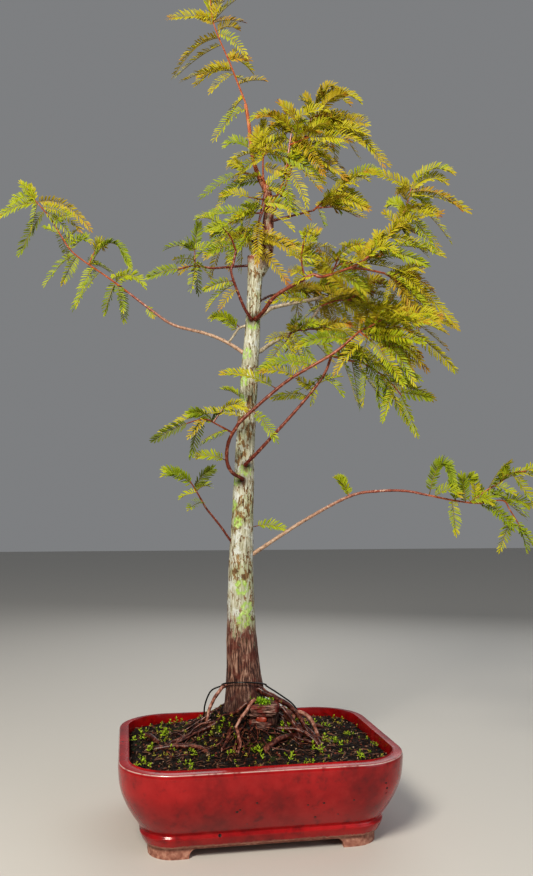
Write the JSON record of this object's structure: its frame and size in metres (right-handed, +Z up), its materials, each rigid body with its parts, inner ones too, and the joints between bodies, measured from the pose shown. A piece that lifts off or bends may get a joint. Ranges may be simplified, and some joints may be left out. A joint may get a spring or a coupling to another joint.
{
  "type": "bald cypress bonsai",
  "caption": "Young bald cypress trained as a bonsai: a straight tapering trunk, thin boughs with feathery foliage, and a low red glazed pot on four corner feet.",
  "frame": {"origin": "middle of the whole part's bounding box, in the plane of the undersides of the pot's feet", "axes": "+Z up the trunk, X along the pot's long side, -Y towards the tree's front"},
  "size_m": [0.6472, 0.32, 1.0296],
  "materials": {
    "glaze": "glossy red glaze, bare clay at the feet",
    "soil": "damp dark potting soil with grit",
    "bark": "matte fibrous bark with lichen",
    "young_bark": "smooth red-brown young bark",
    "root_bark": "damp red-brown root bark",
    "needles": "matte yellow-green needles",
    "tie": "satin black coating"
  },
  "bodies": {
    "root": {"bough_back": "young_bark", "bough_back_left": "young_bark", "bough_crown_mid": "young_bark", "bough_crown_right": "young_bark", "bough_cut_mid": "young_bark", "bough_cut_upper": "young_bark", "bough_front_curl": "young_bark", "bough_front_reach": "young_bark", "bough_left_link": "young_bark", "bough_left_low": "young_bark", "bough_left_side": "young_bark", "bough_left_up": "young_bark", "bough_long_left": "young_bark", "bough_long_right": "young_bark", "bough_right_fork": "young_bark", "bough_right_low": "young_bark", "bough_right_main": "young_bark", "bough_right_outer": "young_bark", "bough_right_stem": "young_bark", "foliage_back": "needles", "foliage_back_left": "needles", "foliage_crown_left": "needles", "foliage_crown_mid": "needles", "foliage_crown_top": "needles", "foliage_inner_low": "needles", "foliage_leader": "needles", "foliage_left_curl": "needles", "foliage_left_low": "needles", "foliage_left_side": "needles", "foliage_left_spray": "needles", "foliage_long_left": "needles", "foliage_long_right": "needles", "foliage_right_front": "needles", "foliage_right_inner": "needles", "foliage_right_low": "needles", "foliage_right_mid": "needles", "foliage_right_outer": "needles", "foliage_right_spur": "needles", "foliage_right_stem": "needles", "foliage_right_top": "needles", "foliage_trunk_front": "needles", "pot": "glaze", "root_aerial": "root_bark", "root_back": "root_bark", "root_back_right": "root_bark", "root_front": "root_bark", "root_front_left": "root_bark", "root_left": "root_bark", "root_ridge": "root_bark", "root_right": "root_bark", "soil": "soil", "sprig_front_across": "needles", "sprig_front_curl": "needles", "sprig_front_hanging": "needles", "sprig_left_link": "needles", "sprig_left_up": "needles", "sprig_long_right": "needles", "sprig_trunk": "needles", "tie_wire": "tie", "trunk": "bark"}
  },
  "joints": []
}
